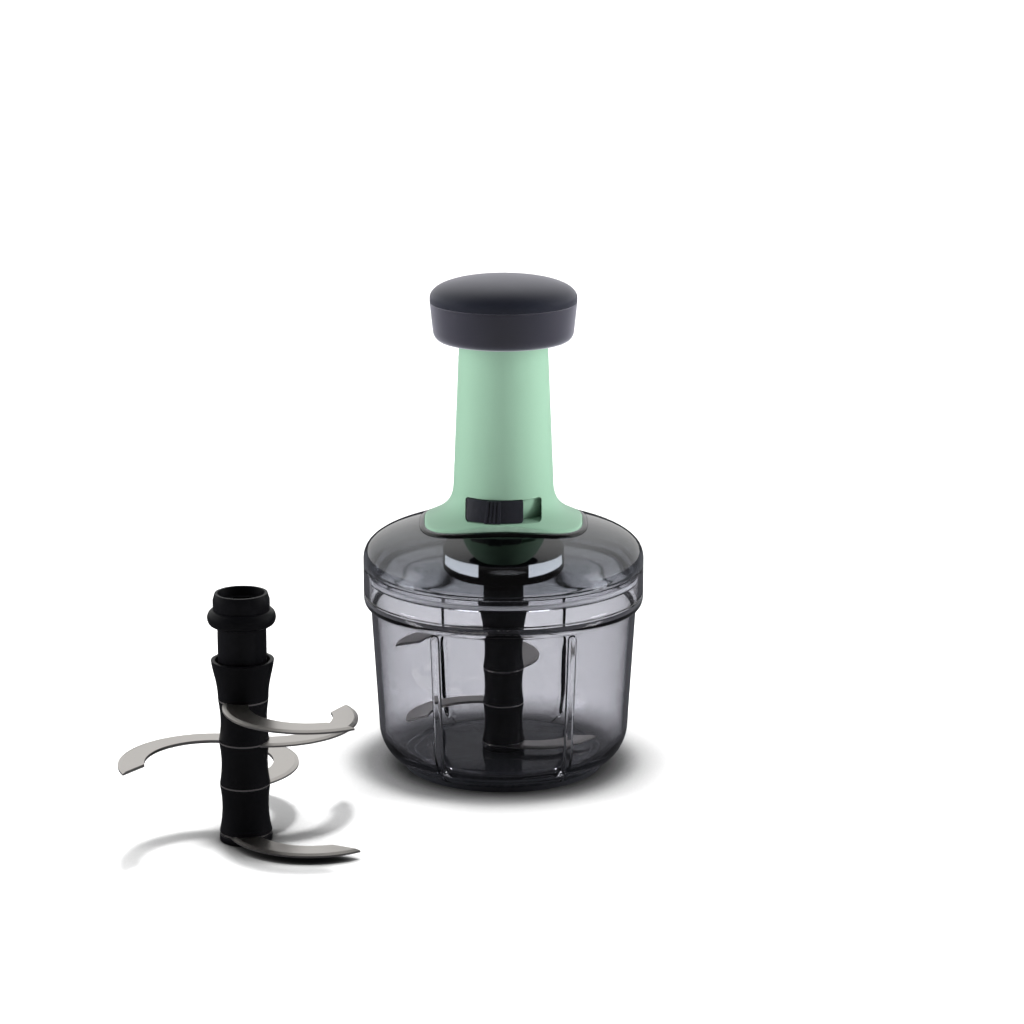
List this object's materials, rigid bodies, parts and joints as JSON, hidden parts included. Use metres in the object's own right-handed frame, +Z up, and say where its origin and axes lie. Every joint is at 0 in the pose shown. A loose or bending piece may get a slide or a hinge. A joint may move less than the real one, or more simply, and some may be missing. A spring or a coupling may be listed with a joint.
{
  "type": "plunger food chopper",
  "caption": "Hand food chopper: clear bowl, smoky lid with a green tower, push knob that spins a blade stack through a twisted shaft, lock slider, and a second blade unit.",
  "frame": {"origin": "on the chopper's axis, at the underside of its non-slip base", "axes": "+Z up along the plunger's axis, -Y the front, where the lock slider is, +X to the right"},
  "size_m": [0.2286, 0.2201, 0.2305],
  "materials": {
    "clear_smoke": "clear, slightly smoky, polished",
    "lid_smoke": "smoky, transparent, polished",
    "clear_window": "clear, polished",
    "mint_plastic": "satin, fine moulded grain",
    "slate_cap": "satin",
    "slate_skirt": "satin, fine moulded grain",
    "slate_slider": "satin",
    "black_plastic": "satin",
    "nylon": "natural nylon",
    "base_rubber": "matt",
    "silicone": "soft",
    "blade_steel": "brushed along the blade, ground edge",
    "polished_steel": "turned"
  },
  "bodies": {
    "bowl": {"bowl": "clear_smoke", "centre_pin": "polished_steel", "non_slip_base": "base_rubber"},
    "lid": {"lid": "lid_smoke", "lid_gasket": "silicone", "drive_cover": "black_plastic", "cover_windows": "clear_window", "tower_housing": "mint_plastic", "tower_screws": "polished_steel", "guide_bush": "nylon", "shaft_bearing": "nylon"},
    "plunger": {"knob_cap": "slate_cap", "knob_skirt": "slate_skirt", "knob_screws": "polished_steel", "plunger_tube": "nylon", "drive_nut": "nylon", "return_spring": "polished_steel"},
    "drive_shaft": {"spiral_shaft": "polished_steel", "shaft_cap": "black_plastic", "shaft_circlip": "polished_steel", "ratchet_spring": "polished_steel", "ratchet_driver": "black_plastic", "output_coupling": "black_plastic", "coupling_screw": "polished_steel"},
    "lock_slider": {"lock_slider": "slate_slider", "lock_retainer": "black_plastic"},
    "blade_seat": {"pin_bush": "nylon"},
    "blade_unit": {"hub_foot": "black_plastic", "hub_spacer_1": "black_plastic", "hub_spacer_2": "black_plastic", "hub_spacer_3": "black_plastic", "hub_sleeve": "black_plastic", "hub_head": "black_plastic", "hub_core": "black_plastic", "blade_1": "blade_steel", "blade_2": "blade_steel", "blade_3": "blade_steel", "blade_4": "blade_steel"},
    "spare_unit": {"spare_pin_bush": "nylon", "spare_hub_foot": "black_plastic", "spare_hub_spacer_1": "black_plastic", "spare_hub_spacer_2": "black_plastic", "spare_hub_spacer_3": "black_plastic", "spare_hub_sleeve": "black_plastic", "spare_hub_head": "black_plastic", "spare_hub_core": "black_plastic", "spare_blade_1": "blade_steel", "spare_blade_2": "blade_steel", "spare_blade_3": "blade_steel", "spare_blade_4": "blade_steel"}
  },
  "joints": [
    {"name": "lid_lift", "type": "slide", "parent": "bowl", "child": "lid", "axis": [0, 0, 1], "range_m": [0, 0.2]},
    {"name": "knob_press", "type": "slide", "parent": "lid", "child": "plunger", "axis": [0, 0, 1], "range_m": [0, 0.05], "deforming": ["return_spring"]},
    {"name": "shaft_spin", "type": "hinge", "parent": "lid", "child": "drive_shaft", "pos_m": [0, 0, 0.117], "axis": [0, 0, 1], "continuous": true},
    {"name": "lock_slide", "type": "hinge", "parent": "lid", "child": "lock_slider", "pos_m": [0, 0, 0.1268], "axis": [0, 0, 1], "range_deg": [0, 18]},
    {"name": "blade_lift", "type": "slide", "parent": "bowl", "child": "blade_seat", "axis": [0, 0, 1], "range_m": [0, 0.1]},
    {"name": "blade_spin", "type": "hinge", "parent": "blade_seat", "child": "blade_unit", "pos_m": [0, 0, 0.014], "axis": [0, 0, 1], "continuous": true},
    {"name": "spare_lift", "type": "slide", "parent": "bowl", "child": "spare_unit", "axis": [0, 0, 1], "range_m": [0, 0.12]}
  ],
  "couplings": [
    {"joint": "shaft_spin", "follows": "knob_press", "rad_per_m": -157.08},
    {"joint": "blade_spin", "follows": "knob_press", "rad_per_m": -157.08},
    {"joint": "blade_lift", "follows": "lid_lift", "ratio": 0.5}
  ]
}
